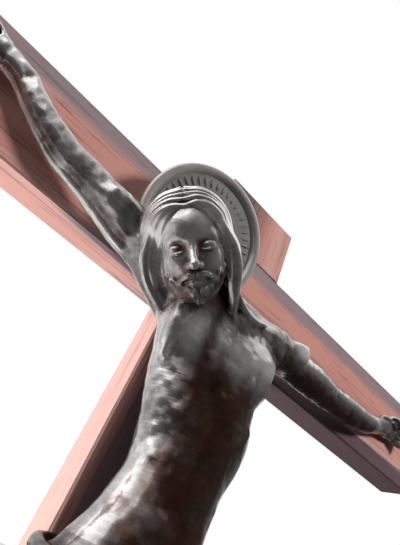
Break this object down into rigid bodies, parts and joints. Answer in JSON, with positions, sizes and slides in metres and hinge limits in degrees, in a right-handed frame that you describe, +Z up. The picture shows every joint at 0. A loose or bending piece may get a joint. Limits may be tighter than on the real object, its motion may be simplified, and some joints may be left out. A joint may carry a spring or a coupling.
{
  "type": "wall crucifix",
  "caption": "Wall crucifix: a dark bronze corpus with a leaning nimbus, nailed to a half-lapped rosewood cross, with a swinging hanging ring let into the back.",
  "frame": {"origin": "middle of the crossing on the cross's back face, which lies against the wall", "axes": "+Z up the cross, -Y out of the wall towards the viewer, +X to the figure's left"},
  "size_m": [0.143, 0.0276, 0.24],
  "materials": {
    "rosewood": "satin",
    "bronze": "satin",
    "nimbus_bronze": "satin",
    "brass": "satin"
  },
  "bodies": {
    "cross": {"upright": "rosewood", "crossbar": "rosewood", "corpus": "bronze", "nimbus": "nimbus_bronze", "nimbus_rivet": "nimbus_bronze", "hand_nail_right": "bronze", "hand_nail_left": "bronze", "foot_nail": "bronze", "hanger_strap": "brass", "hanger_screw_upper": "brass", "hanger_screw_lower": "brass"},
    "ring": {"hanger_ring": "brass"}
  },
  "joints": [
    {"name": "ring_swing", "type": "hinge", "parent": "cross", "child": "ring", "pos_m": [0, -0.002, 0.0146], "axis": [-1, 0, 0], "range_deg": [0, 110]}
  ]
}
